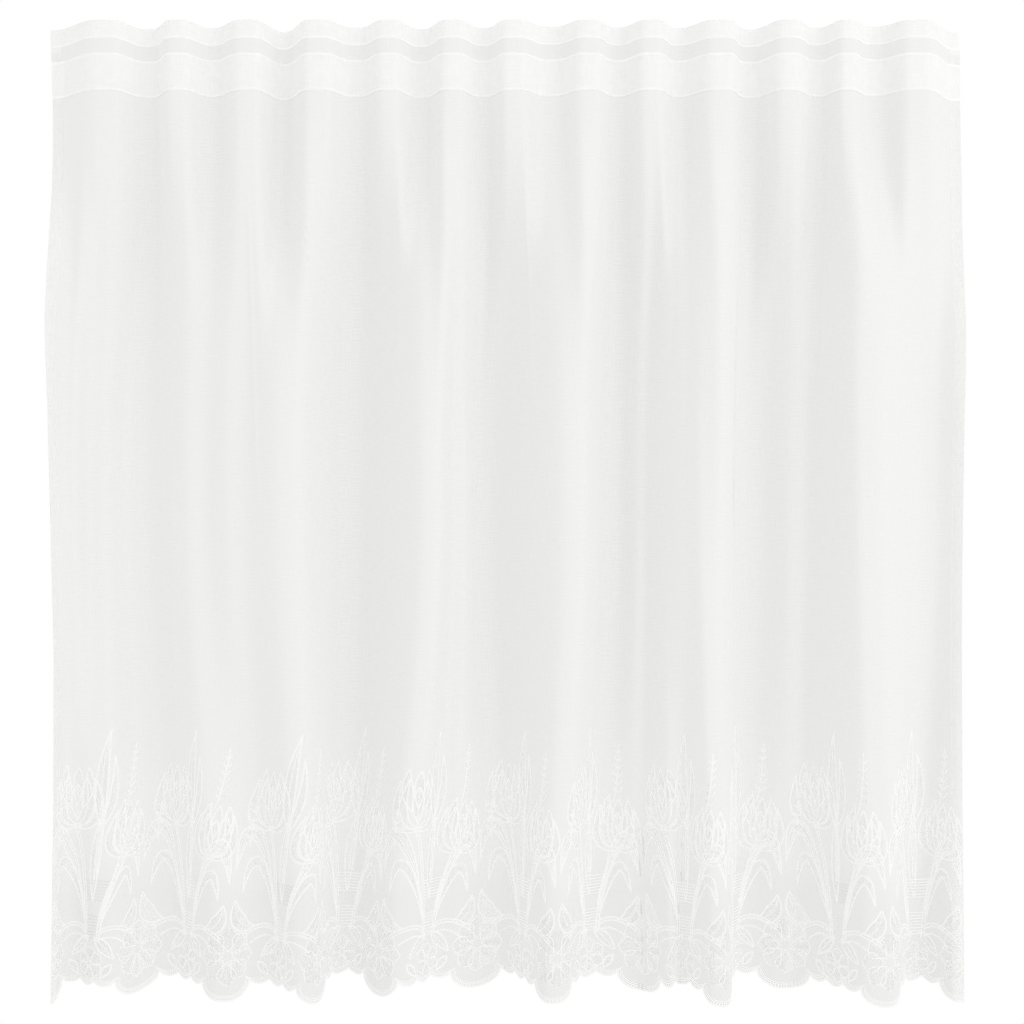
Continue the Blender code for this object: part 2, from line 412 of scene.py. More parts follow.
def foot_of(u):
    """How far down the lower edge reaches at u: lobes at the repeats' ends, and scallops between."""
    within = np.mod(u, REPEAT)
    to_lobe = np.minimum(within, REPEAT - within)
    lobe = np.sqrt(np.clip(1.0 - (to_lobe / LOBE_HALF) ** 2, 0.0, 1.0)) * LOBE_DEEP
    between = np.clip((within - LOBE_HALF) / (REPEAT - 2.0 * LOBE_HALF), 0.0, 1.0)
    scallop = np.abs(np.sin(np.pi * SCALLOPS * between)) * SCALLOP_DEEP
    return NOTCH_LINE + np.where(to_lobe < LOBE_HALF, lobe, scallop)


def front_normals(points):
    """Unit normals of a grid of points, towards the front."""
    normals = np.cross(np.gradient(points, axis=1), np.gradient(points, axis=0))
    normals /= np.linalg.norm(normals, axis=-1, keepdims=True)
    return normals * -np.sign(normals[..., 1].mean())


def crease_place(crease, down):
    """Where a crease stands across at each height, as seen from the front."""
    share = np.clip((down - crease.from_down) / (crease.to_down - crease.from_down), 0.0, 1.0)
    return crease.from_across + (crease.to_across - crease.from_across) * share


def folded_grid():
    """The folded cloth on a fine flat grid: its points and normals, and each crease's place by row."""
    u = np.arange(0.0, FLAT_WIDTH + GRID_ACROSS / 2.0, GRID_ACROSS)
    v = np.arange(0.0, DROP + GRID_DOWN / 2.0, GRID_DOWN)
    points = np.empty((len(v), len(u), 3))
    for row, down in enumerate(v):
        points[row, :, 0], points[row, :, 1] = plan_curve(down, u)
        points[row, :, 2] = -down
    seen = CAMERA_ACROSS + (points[..., 0] - CAMERA_ACROSS) * CAMERA_AWAY / (CAMERA_AWAY + points[..., 1])
    rise = np.zeros(seen.shape)
    flat_places = []
    for crease in CREASES:
        at = crease_place(crease, v)
        flat = np.array([u[np.argmin(np.abs(line - place))] for line, place in zip(seen, at)])
        held = np.pad(flat, EVENED_ROWS // 2, mode="edge")
        flat_places.append(np.convolve(held, np.full(EVENED_ROWS, 1.0 / EVENED_ROWS), mode="valid"))
        strength = smooth_step(crease.from_down, crease.from_down + CREASE_FADE, v)
        strength *= 1.0 - smooth_step(crease.to_down - CREASE_FADE, crease.to_down, v)
        away = (u[None, :] - flat_places[-1][:, None]) / crease.width
        rise += crease.forward * strength[:, None] * np.exp(-away * away)
    points += front_normals(points) * rise[..., None]
    return points, front_normals(points), np.array(flat_places)


GRID_POINTS, GRID_NORMALS, CREASE_FLAT = folded_grid()


def between_cells(grid, row, column, down, across):
    """A grid's values, blended over the four corners of each cell."""
    down, across = down[:, None], across[:, None]
    above = grid[row, column] * (1.0 - across) + grid[row, column + 1] * across
    below = grid[row + 1, column] * (1.0 - across) + grid[row + 1, column + 1] * across
    return above * (1.0 - down) + below * down


def hang(flat):
    """Bends flat work onto the folds: (across, up, height) in millimetres become metres in the frame."""
    flat = np.asarray(flat, float)
    rows, columns = GRID_POINTS.shape[:2]
    across = np.clip(flat[:, 0] / GRID_ACROSS, 0.0, columns - 1.0)
    down = np.clip(-flat[:, 1] / GRID_DOWN, 0.0, rows - 1.0)
    column = np.minimum(across.astype(int), columns - 2)
    row = np.minimum(down.astype(int), rows - 2)
    cell = (row, column, down - row, across - column)
    points = between_cells(GRID_POINTS, *cell)
    points[:, 2] += np.maximum(flat[:, 1], -DROP) + down * GRID_DOWN
    normals = between_cells(GRID_NORMALS, *cell)
    normals /= np.linalg.norm(normals, axis=1)[:, None]
    return (points + normals * flat[:, 2:3]) * MM


def finished_piece(name, flat, faces, material):
    """A mesh object hung from flat work, with the flat cloth's metres as its UV map."""
    mesh = bpy.data.meshes.new(name)
    mesh.from_pydata(hang(flat).tolist(), [], faces)
    add_flat_map(mesh, np.asarray(flat, float)[:, :2] * MM)
    return placed(name, mesh, material)


def add_flat_map(mesh, places):
    layer = mesh.uv_layers.new(name="flat_cloth")
    corners = np.empty(len(mesh.loops), np.int32)
    mesh.loops.foreach_get("vertex_index", corners)
    layer.data.foreach_set("uv", np.ascontiguousarray(places[corners], np.float32).ravel())


def placed(name, mesh, material):
    """Links a finished mesh as a piece of the curtain that rides on the frame."""
    if not mesh.materials:
        mesh.materials.append(material)
    mesh.shade_smooth()
    mesh.set_sharp_from_angle(angle=SHARP_BEND)
    mesh.validate()
    piece = bpy.data.objects.new(name, mesh)
    bpy.context.scene.collection.objects.link(piece)
    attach(piece, "root")
    return piece


# Node helpers


def fed(tree, socket, value):
    """Links a socket to another, or sets its plain value."""
    if isinstance(value, bpy.types.NodeSocket):
        tree.links.new(value, socket)
    else:
        socket.default_value = value


def add_node(tree, kind, settings=(), **values):
    """A node with its settings and inputs; gives its outputs."""
    node = tree.nodes.new(kind)
    for label, value in dict(settings).items():
        setattr(node, label, value)
    for label, value in values.items():
        fed(tree, node.inputs[label.replace("_", " ")], value)
    return node.outputs


def calc(tree, operation, *values, clamp=False):
    node = tree.nodes.new("ShaderNodeMath")
    node.operation = operation
    node.use_clamp = clamp
    for socket, value in zip(node.inputs, values):
        fed(tree, socket, value)
    return node.outputs[0]


def eased(tree, value, low, high, to_low=0.0, to_high=1.0):
    """A smooth change from to_low to to_high as value goes from low to high."""
    return add_node(tree, "ShaderNodeMapRange", {"interpolation_type": "SMOOTHSTEP"}, Value=value,
                    From_Min=low, From_Max=high, To_Min=to_low, To_Max=to_high)[0]


def mixed(tree, share, first, second, way="MIX"):
    node = tree.nodes.new("ShaderNodeMix")
    node.data_type = "RGBA"
    node.blend_type = way
    sockets = {socket.identifier: socket for socket in node.inputs}
    for name, value in zip(("Factor_Float", "A_Color", "B_Color"), (share, first, second)):
        fed(tree, sockets[name], value)
    return next(socket for socket in node.outputs if socket.identifier == "Result_Color")


def scaled_colour(tree, colour, factor):
    """A colour made lighter or darker by a factor that changes over the cloth."""
    combine = tree.nodes.new("ShaderNodeCombineColor")
    for socket in combine.inputs[:3]:
        tree.links.new(factor, socket)
    return mixed(tree, 1.0, colour, combine.outputs[0], "MULTIPLY")


def new_group(name, inputs, outputs, kind="ShaderNodeTree"):
    """An empty node group with named sockets: rows of a name, a sort of socket and perhaps a default."""
    tree = bpy.data.node_groups.new(name, kind)
    for direction, rows in (("INPUT", inputs), ("OUTPUT", outputs)):
        for label, sort, *default in rows:
            socket = tree.interface.new_socket(label, in_out=direction, socket_type="NodeSocket" + sort)
            if default:
                socket.default_value = default[0]
    return tree, tree.nodes.new("NodeGroupInput").outputs, tree.nodes.new("NodeGroupOutput").inputs


def use_group(tree, group, **values):
    return add_node(tree, "ShaderNodeGroup", {"node_tree": group}, **values)


def split_map(tree, vector):
    return add_node(tree, "ShaderNodeSeparateXYZ", Vector=vector)


def plain_weave_group():
    """Threads over and under each other, with the slubs of an uneven yarn."""
    if "plain weave" in bpy.data.node_groups:
        return bpy.data.node_groups["plain weave"]
    tree, given, out = new_group(
        "plain weave",
        [("Vector", "Vector"), ("Pitch", "Float", VOILE_PITCH), ("Slub", "Float", 0.3)],
        [("Height", "Float"), ("Evenness", "Float")],
    )
    place = split_map(tree, given["Vector"])
    waves = []
    for k in (0, 1):
        turns = calc(tree, "MULTIPLY", calc(tree, "DIVIDE", place[k], given["Pitch"]), TURN / 2.0)
        waves.append(calc(tree, "SINE", turns))
    weave = calc(tree, "MULTIPLY_ADD", calc(tree, "MULTIPLY", waves[0], waves[1]), 0.5, 0.5)
    slubs = []
    for stretch in ((SLUB_FINE, SLUB_LONG, 1.0), (SLUB_LONG, SLUB_FINE, 1.0)):
        stretched = add_node(tree, "ShaderNodeMapping", Scale=stretch, Vector=given["Vector"])[0]
        noise = add_node(tree, "ShaderNodeTexNoise", {"noise_dimensions": "2D"}, Scale=1.0, Detail=0.0,
                         Vector=stretched)[0]
        slubs.append(calc(tree, "SUBTRACT", noise, 0.5))
    slub = calc(tree, "MULTIPLY", calc(tree, "ADD", *slubs), given["Slub"])
    fed(tree, out["Evenness"], calc(tree, "ADD", slub, 1.0))
    fed(tree, out["Height"], weave)
    return tree


def cloth_zones_group():
    """Where the sheer is doubled by a hem or the tape, and where it opens into the lace's ground net."""
    tree, given, out = new_group(
        "cloth zones",
        [("Vector", "Vector")],
        [("Doubled", "Float"), ("Stitched Edge", "Float"), ("Net", "Float")],
    )
    place = split_map(tree, given["Vector"])
    across, down = place[0], calc(tree, "MULTIPLY", place[1], -1.0)
    top = eased(tree, down, (TOP_HEM + BAND_SOFT) * MM, (TOP_HEM - BAND_SOFT) * MM)
    tape = calc(
        tree, "MULTIPLY",
        eased(tree, down, (TAPE_TOP - BAND_SOFT) * MM, (TAPE_TOP + BAND_SOFT) * MM),
        eased(tree, down, (TAPE_FOOT + BAND_SOFT) * MM, (TAPE_FOOT - BAND_SOFT) * MM),
    )
    from_side = calc(tree, "MINIMUM", across, calc(tree, "SUBTRACT", FLAT_WIDTH * MM, across))
    side = eased(tree, from_side, (SIDE_HEM + BAND_SOFT) * MM, (SIDE_HEM - BAND_SOFT) * MM, 0.0, SIDE_SHARE)
    fed(tree, out["Doubled"], calc(tree, "MAXIMUM", calc(tree, "MAXIMUM", top, tape), side))
    edges = []
    for edge in (TOP_HEM - HEM_STITCH_IN, TAPE_TOP + TAPE_STITCH_IN, TAPE_FOOT - TAPE_STITCH_IN):
        off = calc(tree, "ABSOLUTE", calc(tree, "SUBTRACT", down, edge * MM))
        edges.append(eased(tree, off, SEWN_WIDE * MM, SEWN_NARROW * MM))
    fed(tree, out["Stitched Edge"], calc(tree, "MAXIMUM", calc(tree, "MAXIMUM", *edges[:2]), edges[2]))
    turns = calc(tree, "MULTIPLY", across, TURN / (REPEAT * MM))
    swell = calc(tree, "MULTIPLY", calc(tree, "SINE", calc(tree, "ADD", turns, NET_TURN)), NET_SWELL * MM)
    below = calc(tree, "SUBTRACT", down, calc(tree, "ADD", swell, NET_DOWN * MM))
    fed(tree, out["Net"], eased(tree, below, -NET_SOFT * MM, NET_SOFT * MM))
    return tree


def net_group():
    """The open ground of the lace: rows of small meshes with threads between them."""
    tree, given, out = new_group(
        "ground net",
        [("Vector", "Vector"), ("Wide", "Float", NET_PITCH), ("High", "Float", NET_PITCH)],
        [("Threads", "Float")],
    )
    place = split_map(tree, given["Vector"])
    waves = []
    for k, size in ((0, "Wide"), (1, "High")):
        turns = calc(tree, "MULTIPLY", calc(tree, "DIVIDE", place[k], given[size]), TURN)
        waves.append(calc(tree, "COSINE", turns))
    off = calc(tree, "ABSOLUTE", calc(tree, "ADD", *waves))
    fed(tree, out["Threads"], eased(tree, off, *NET_THREAD))
    return tree


def new_material(name, colour, roughness, sheen=0.35):
    material = bpy.data.materials.new(name)
    material.use_nodes = True
    shader = material.node_tree.nodes["Principled BSDF"]
    for label, value in (("Base Color", (*colour, 1.0)), ("Roughness", roughness), ("Metallic", 0.0),
                         ("Specular IOR Level", 0.25), ("Sheen Weight", sheen), ("Sheen Roughness", 0.4)):
        shader.inputs[label].default_value = value
    material.cycles.emission_sampling = "NONE"
    return material, material.node_tree, shader


def flat_map(tree):
    return add_node(tree, "ShaderNodeUVMap", {"uv_map": "flat_cloth"})[0]


def bumped(tree, shader, height, strength, distance):
    normal = add_node(tree, "ShaderNodeBump", Strength=strength, Distance=distance, Height=height)[0]
    tree.links.new(normal, shader.inputs["Normal"])


def painted_glow_colour(glow):
    """Painted glow that stands in for the light through yarn from behind: white, and a little warm."""
    return (glow, glow, glow * WARMTH, 1.0)


def voile_material(name, colours):
    """The sheer: fuller where a hem or the tape lies behind it, with a painted glow there, and opened into
    a net in the lace.
    """
    material, tree, shader = new_material(name, colours.cloth, roughness=0.8)
    vector = flat_map(tree)
    zones = use_group(tree, cloth_zones_group(), Vector=vector)
    weave = use_group(tree, plain_weave_group(), Vector=vector, Pitch=VOILE_PITCH, Slub=0.05)
    threads = use_group(tree, net_group(), Vector=vector)["Threads"]
    full = calc(tree, "MULTIPLY_ADD", zones["Stitched Edge"], EDGE_SHARE, zones["Doubled"])
    netted = calc(tree, "MULTIPLY", zones["Net"], calc(tree, "SUBTRACT", 1.0, threads))
    colour = mixed(tree, full, (*colours.cloth, 1.0), (*colours.doubled, 1.0))
    colour = mixed(tree, netted, colour, (*colours.net, 1.0))
    tree.links.new(scaled_colour(tree, colour, weave["Evenness"]), shader.inputs["Base Color"])
    # Painted glow where a hem, the tape or a row of stitches doubles the sheer, in place of light through
    # the layers from behind
    glow = scaled_colour(tree, painted_glow_colour(colours.painted_band_glow), full)
    tree.links.new(glow, shader.inputs["Emission Color"])
    shader.inputs["Emission Strength"].default_value = 1.0
    alpha = calc(tree, "MULTIPLY_ADD", full, BAND_SHARE, colours.fullness)
    tree.links.new(calc(tree, "MULTIPLY", alpha, weave["Evenness"], clamp=True), shader.inputs["Alpha"])
    bumped(tree, shader, weave["Height"], strength=0.25, distance=0.0002)
    return material


def woven_material(name, colour, pitch, alpha, glow):
    """Closely woven or twisted yarn of one colour, which gives off a painted glow."""
    material, tree, shader = new_material(name, colour, roughness=0.75, sheen=0.1)
    # Painted glow, in place of the light that comes through the yarn from behind
    shader.inputs["Emission Color"].default_value = painted_glow_colour(glow)
    shader.inputs["Emission Strength"].default_value = 1.0
    weave = use_group(tree, plain_weave_group(), Vector=flat_map(tree), Pitch=pitch, Slub=0.12)
    tree.links.new(scaled_colour(tree, (*colour, 1.0), weave["Evenness"]), shader.inputs["Base Color"])
    if alpha < 1.0:
        share = calc(tree, "MULTIPLY_ADD", weave["Height"], THREAD_SWING, alpha - THREAD_SWING / 2.0,
                     clamp=True)
        tree.links.new(share, shader.inputs["Alpha"])
    bumped(tree, shader, weave["Height"], strength=0.1, distance=0.0003)
    return material


def material_once(name, maker, *given):
    return bpy.data.materials.get(name) or maker(name, *given)


# The sheet


# Heights of the sheet's rows: close together at the heading's bands and in the lace
SHEET_ROWS = (
    0.0, 6.0, 14.0, 22.0, 27.0, 34.0, 41.0, 48.0, 56.0, 66.0, 76.0, 86.0, 95.0, 104.0, 112.0, 122.0, 134.0,
    *np.linspace(150.0, 1170.0, 54).tolist(),
    *np.linspace(1182.0, NOTCH_LINE - 4.0, 24).tolist(),
)
LOBE_STEPS = 10
SCALLOP_STEPS = 8
LOBE_CROWDING = 1.5

# Columns are drawn together about each crease narrower than this, over this reach and to this share of
# their spacing, and spread again well above the lobes
NARROW = 3.5
CREASE_PULL = 22.0
PULLED_TO = 0.36
PULL_FOOT = NOTCH_LINE - 60.0


def sheet_columns():
    """Flat places of the sheet's columns, closer together where a lobe's sides are steep."""
    t = np.linspace(0.0, 1.0, LOBE_STEPS + 1)
    half_lobe = LOBE_HALF * (1.0 - (1.0 - t) ** LOBE_CROWDING)
    between = np.linspace(LOBE_HALF, REPEAT - LOBE_HALF, SCALLOPS * SCALLOP_STEPS + 1)
    one = np.concatenate([half_lobe, between[1:], REPEAT - half_lobe[-2::-1]])
    return np.concatenate([one[:-1] + k * REPEAT for k in range(REPEATS)] + [[FLAT_WIDTH]])


def pulled_columns(u, down):
    """The columns at one height, drawn together about the narrow creases so that these show sharply."""
    pulled = u.copy()
    row = min(down / GRID_DOWN, CREASE_FLAT.shape[1] - 1.0)
    for crease, places in zip(CREASES, CREASE_FLAT):
        if crease.width > NARROW or not crease.from_down < down < crease.to_down:
            continue
        at = np.interp(row, np.arange(len(places)), places)
        foot = min(crease.to_down, PULL_FOOT)
        strength = smooth_step(crease.from_down, crease.from_down + CREASE_FADE, down)
        strength *= 1.0 - smooth_step(foot - CREASE_FADE, foot, down)
        off = pulled - at
        near = np.abs(off) < CREASE_PULL
        share = PULLED_TO + (1.0 - PULLED_TO) * (off[near] / CREASE_PULL) ** 2
        pulled[near] = at + off[near] * (1.0 + (share - 1.0) * strength)
    return pulled


def sheet_grid():
    """Flat (across, up) places of the sheet's grid, down to its scalloped foot."""
    u = sheet_columns()
    rows = [(pulled_columns(u, down), np.full(len(u), down)) for down in SHEET_ROWS]
    rows.append((u, foot_of(u)))
    across, down = (np.array([row[k] for row in rows]) for k in (0, 1))
    return np.stack([across, -down], axis=-1)


def skin_faces(grid):
    """Faces of one skin over a flat grid, each quad cut along its shorter way, as seen from the front."""
    rows, columns = grid.shape[:2]
    hung = hang(np.column_stack([grid.reshape(-1, 2), np.zeros(rows * columns)]))
    a = (np.arange(rows - 1)[:, None] * columns + np.arange(columns - 1)[None, :]).ravel()
    below, beside, across = a + columns, a + 1, a + columns + 1
    fall, rise = hung[a] - hung[across], hung[below] - hung[beside]
    fall = (np.linalg.norm(fall, axis=1) <= np.linalg.norm(rise, axis=1))[:, None]
    one = np.where(fall, np.column_stack([a, below, across]), np.column_stack([a, below, beside]))
    two = np.where(fall, np.column_stack([a, across, beside]), np.column_stack([below, across, beside]))
    return np.concatenate([one, two])


def shell(grid, front, back):
    """Vertices and faces of a closed thin shell over a flat grid, from height back to height front."""
    rows, columns = grid.shape[:2]
    count = rows * columns
    flat = np.concatenate([
        np.column_stack([grid.reshape(-1, 2), np.full(count, height)]) for height in (front, back)
    ])
    skin = skin_faces(grid)
    top = list(range(columns))
    foot = [count - columns + c for c in reversed(range(columns))]
    right = [r * columns + columns - 1 for r in range(1, rows - 1)]
    left = [r * columns for r in reversed(range(1, rows - 1))]
    rim = np.array(top + right + foot + left)
    after = np.roll(rim, -1)
    band = np.column_stack([rim, after, after + count, rim + count])
    faces = skin.tolist() + (count + skin[:, ::-1]).tolist() + band.tolist()
    return flat, faces


def steps_across(inset, step):
    """Places across the cloth, between an inset from its left side and the same from its right."""
    return np.arange(inset, FLAT_WIDTH - inset + 1.0, step)


def swept(profile, places):
    """Flat work of one closed (down, height) profile carried along the places across, with capped ends."""
    profile = np.array(profile, float)
    n, m = len(profile), len(places)
    flat = np.empty((m, n, 3))
    flat[..., 0] = np.asarray(places)[:, None]
    flat[..., 1] = -profile[None, :, 0]
    flat[..., 2] = profile[None, :, 1]
    faces = []
    for k in range(m - 1):
        for j in range(n):
            a, b = k * n + j, k * n + (j + 1) % n
            faces.append((a, b, b + n, a + n))
    faces.append(tuple(reversed(range(n))))
    faces.append(tuple((m - 1) * n + j for j in range(n)))
    return flat.reshape(-1, 3), faces


def made_outward(piece):
    """Turns a closed piece's faces outwards."""
    bm = bmesh.new()
    bm.from_mesh(piece.data)
    bmesh.ops.recalc_face_normals(bm, faces=bm.faces)
    bm.to_mesh(piece.data)
    bm.free()


def make_sheet(colours):
    """The sheer, as one skin: real voile is a third of a millimetre thick, which never shows."""
    grid = sheet_grid()
    flat = np.column_stack([grid.reshape(-1, 2), np.zeros(grid.shape[0] * grid.shape[1])])
    voile = material_once("sheer_voile", voile_material, colours)
    piece = finished_piece("curtain_sheet", flat, skin_faces(grid).tolist(), voile)
    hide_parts("curtain_panel")
    return piece


# The lace, drawn flat


Thread = namedtuple("Thread", "places thickness height")


def bowed(root, pull, tip, count):
    """Points from root to tip, drawn towards pull."""
    t = np.linspace(0.0, 1.0, count)[:, None]
    root, pull, tip = (np.array(point, float) for point in (root, pull, tip))
    return (1.0 - t) ** 2 * root + 2.0 * t * (1.0 - t) * pull + t ** 2 * tip


def to_left(line):
    """Unit directions to the left of a line, at each of its points."""
    along = np.gradient(line, axis=0)
    along /= np.linalg.norm(along, axis=1)[:, None]
    return np.column_stack([-along[:, 1], along[:, 0]])


def leaf_middle(leaf):
    """A leaf's middle line, the way to its left, and half its width at each point."""
    length = math.dist(leaf.root, leaf.pull) + math.dist(leaf.pull, leaf.tip)
    count = int(np.clip(length / LEAF_STEP, *LEAF_STEPS)) + 1
    line = bowed(leaf.root, leaf.pull, leaf.tip, count)
    t = np.linspace(0.0, 1.0, count)
    half = leaf.width / 2.0 * np.sin(np.pi * t ** (math.log(0.5) / math.log(leaf.fullest)))
    return line, to_left(line), np.maximum(half, 0.0)[:, None]


def leaf_threads(leaf, outline, vein, height):
    """A leaf's outlines and veins."""
    line, left, half = leaf_middle(leaf)
    threads = [Thread(line + left * half * side, outline, height) for side in (-1.0, 1.0)]
    for share in np.linspace(-1.0, 1.0, leaf.veins + 2)[1:-1]:
        threads.append(Thread((line + left * half * share)[1:-1], vein, height))
    return threads


def turned(leaf, across, up, scale, turn):
    """A leaf drawn about (0, 0), put in its place."""
    c, s = math.cos(turn), math.sin(turn)
    spin = np.array([[c, s], [-s, c]]) * scale
    foot = np.array([across, up])
    root, pull, tip = (tuple(foot + np.array(point) @ spin) for point in (leaf.root, leaf.pull, leaf.tip))
    return Leaf(root, pull, tip, leaf.width * scale, leaf.fullest, leaf.veins)


def tulip_petals():
    return [turned(petal, bloom.across, bloom.up, bloom.height, math.radians(bloom.tilt))
            for bloom in TULIPS for petal in TULIP_PETALS]


def flower_petals():
    petals = []
    for flower in FLOWERS:
        for order, ring in enumerate(flower.rings):
            middle = (0.0, (ring.inner + ring.outer) / 2.0)
            petal = Leaf((0.0, ring.inner), middle, (0.0, ring.outer), ring.width, PETAL_FULLEST, 0)
            for k in range(ring.petals):
                turn = TURN * (k + order / 2.0) / ring.petals
                petals.append(turned(petal, flower.across, flower.up, 1.0, turn))
    return petals


def sprig_lines(sizes):
    """Pairs of short bars that slant up from the sprigs' stems."""
    threads = []
    for sprig in SPRIGS:
        for share in np.linspace(0.0, 1.0, sprig.pairs):
            foot = np.array(sprig.root) + (np.array(sprig.tip) - sprig.root) * share
            long = sprig.bud * (1.0 - BUD_SHORTER * share)
            for side in (-1.0, 1.0):
                way = np.array([side * math.sin(BUD_TURN), math.cos(BUD_TURN)])
                threads.append(Thread((foot + way * BUD_CLEAR, foot + way * long), sizes.edging / MM, 0.0))
    return threads


def stem_lines(sizes):
    threads = []
    for stem in STEMS:
        line = bowed(stem.root, stem.pull, stem.tip, STEM_POINTS)
        for side in ((-0.5, 0.5) if stem.gap else (0.0,)):
            threads.append(Thread(line + to_left(line) * stem.gap * side, sizes.outline / MM, 0.0))
    for ladder in LADDERS:
        sides = [bowed(*STEMS[n][:3], SIDE_POINTS) for n in (ladder.left, ladder.right)]
        for up in np.arange(ladder.foot, ladder.top, BAR_PITCH):
            ends = [(np.interp(up, side[:, 1], side[:, 0]), up) for side in sides]
            threads.append(Thread(ends, sizes.vein / MM, 0.0))
    return threads


def line_mesh(threads):
    """A mesh of loose edges that carries each thread's thickness."""
    points, edges, thicknesses = [], [], []
    for thread in threads:
        first = len(points)
        points.extend((x, y, thread.height) for x, y in thread.places)
        edges.extend((k, k + 1) for k in range(first, len(points) - 1))
        thicknesses.extend([thread.thickness] * len(thread.places))
    mesh = bpy.data.meshes.new("lines")
    mesh.from_pydata(points, edges, [])
    mesh.attributes.new("thickness", "FLOAT", "POINT").data.foreach_set("value", thicknesses)
    return mesh


def ground_mesh(leaves, crown):
    """The worked ground of leaves or petals: a thin closed lens for each, a little above the last."""
    points, faces = [], []
    for order, leaf in enumerate(leaves):
        line, left, half = leaf_middle(leaf)
        height = LAYER_STEP * (order % LAYERS)
        rings = len(line) - 2
        first = len(points)
        points.append((*line[0], height))
        for middle, side, reach in zip(line[1:-1], left[1:-1], half[1:-1]):
            points += [(*(middle - side * reach), height), (*middle, height + crown),
                       (*(middle + side * reach), height), (*middle, height - crown)]
        points.append((*line[-1], height))
        last = len(points) - 1
        for j in range(4):
            after = (j + 1) % 4
            faces.append((first, first + 1 + after, first + 1 + j))
            for k in range(rings - 1):
                a, b = first + 1 + 4 * k + j, first + 1 + 4 * k + after
                faces.append((a, b, b + 4, a + 4))
            faces.append((last, last - 4 + j, last - 4 + after))
    mesh = bpy.data.meshes.new("ground")
    mesh.from_pydata(points, [], faces)
    return mesh


# Trees that make what repeats


def made_real(tree, given, out, copies):
    """Ends a tree: its copies made real, in one material."""
    real = add_node(tree, "GeometryNodeRealizeInstances", Geometry=copies)[0]
    shown = add_node(tree, "GeometryNodeSetMaterial", Geometry=real, Material=given["Material"])[0]
    tree.links.new(shown, out[0])


def repeated_across(tree, given, out, geometry):
    """Ends a tree with the work repeated across the cloth at its height."""
    step = add_node(tree, "ShaderNodeCombineXYZ", X=given["Repeat"])[0]
    start = add_node(tree, "ShaderNodeCombineXYZ", Y=given["Up"])[0]
    places = add_node(tree, "GeometryNodeMeshLine", Count=given["Copies"], Start_Location=start,
                      Offset=step)[0]
    copies = add_node(tree, "GeometryNodeInstanceOnPoints", Points=places, Instance=geometry)[0]
    made_real(tree, given, out, copies)


REPEAT_INPUTS = [
    ("Geometry", "Geometry"), ("Repeat", "Float", REPEAT), ("Copies", "Int", REPEATS + 1),
    ("Up", "Float", -NOTCH_LINE), ("Material", "Material"),
]
GEOMETRY_OUT = [("Geometry", "Geometry")]


def thread_tree():
    """Threads along loose edges, flattened onto the cloth and repeated across it."""
    if "lace threads" in bpy.data.node_groups:
        return bpy.data.node_groups["lace threads"]
    tree, given, out = new_group(
        "lace threads",
        REPEAT_INPUTS + [("Sides", "Int", 4), ("Flatness", "Float", 0.25)],
        GEOMETRY_OUT, "GeometryNodeTree",
    )
    path = add_node(tree, "GeometryNodeMeshToCurve", Mesh=given["Geometry"])[0]
    path = add_node(tree, "GeometryNodeSetCurveNormal", {"mode": "Z_UP"}, Curve=path)[0]
    ring = add_node(tree, "GeometryNodeCurvePrimitiveCircle", Resolution=given["Sides"], Radius=0.5)[0]
    thickness = add_node(tree, "GeometryNodeInputNamedAttribute", {"data_type": "FLOAT"},
                         Name="thickness")[0]
    tube = add_node(tree, "GeometryNodeCurveToMesh", Curve=path, Profile_Curve=ring, Scale=thickness,
                    Fill_Caps=True)[0]
    flat = add_node(tree, "ShaderNodeCombineXYZ", X=1.0, Y=1.0, Z=given["Flatness"])[0]
    flattened = add_node(tree, "GeometryNodeTransform", Geometry=tube, Scale=flat)[0]
    repeated_across(tree, given, out, flattened)
    return tree


def ground_tree():
    """Worked grounds, repeated across the cloth."""
    if "lace grounds" in bpy.data.node_groups:
        return bpy.data.node_groups["lace grounds"]
    tree, given, out = new_group("lace grounds", REPEAT_INPUTS, GEOMETRY_OUT, "GeometryNodeTree")
    repeated_across(tree, given, out, given["Geometry"])
    return tree


def stitch_tree():
    """Stitches in rows along loose edges."""
    tree, given, out = new_group(
        "stitch rows",
        [("Geometry", "Geometry"), ("Pitch", "Float", 4.2), ("Length", "Float", 2.6),
         ("Width", "Float", 0.32), ("Depth", "Float", 1.0), ("Material", "Material")],
        GEOMETRY_OUT, "GeometryNodeTree",
    )
    path = add_node(tree, "GeometryNodeMeshToCurve", Mesh=given["Geometry"])[0]
    places = add_node(tree, "GeometryNodeCurveToPoints", {"mode": "LENGTH"}, Curve=path,
                      Length=given["Pitch"])
    turn = add_node(tree, "FunctionNodeAlignRotationToVector", {"axis": "X"}, Vector=places["Tangent"])[0]
    stitch = add_node(tree, "GeometryNodeMeshUVSphere", Segments=5, Rings=4, Radius=0.5)[0]
    size = add_node(tree, "ShaderNodeCombineXYZ", X=given["Length"], Y=given["Width"], Z=given["Depth"])[0]
    rows = add_node(tree, "GeometryNodeInstanceOnPoints", Points=places["Points"], Instance=stitch,
                    Rotation=turn, Scale=size)[0]
    made_real(tree, given, out, rows)
    return tree


def grown(mesh, tree, **settings):
    """Runs a tree over a flat mesh, and gives the plain mesh that it makes."""
    source = bpy.data.objects.new("flat_work", mesh)
    bpy.context.scene.collection.objects.link(source)
    modifier = source.modifiers.new(tree.name, "NODES")
    modifier.node_group = tree
    sockets = {item.name: item.identifier for item in tree.interface.items_tree if item.in_out == "INPUT"}
    for label, value in settings.items():
        modifier[sockets[label]] = value
    result = bpy.data.meshes.new_from_object(source.evaluated_get(bpy.context.evaluated_depsgraph_get()))
    bpy.data.objects.remove(source)
    bpy.data.meshes.remove(mesh)
    return result


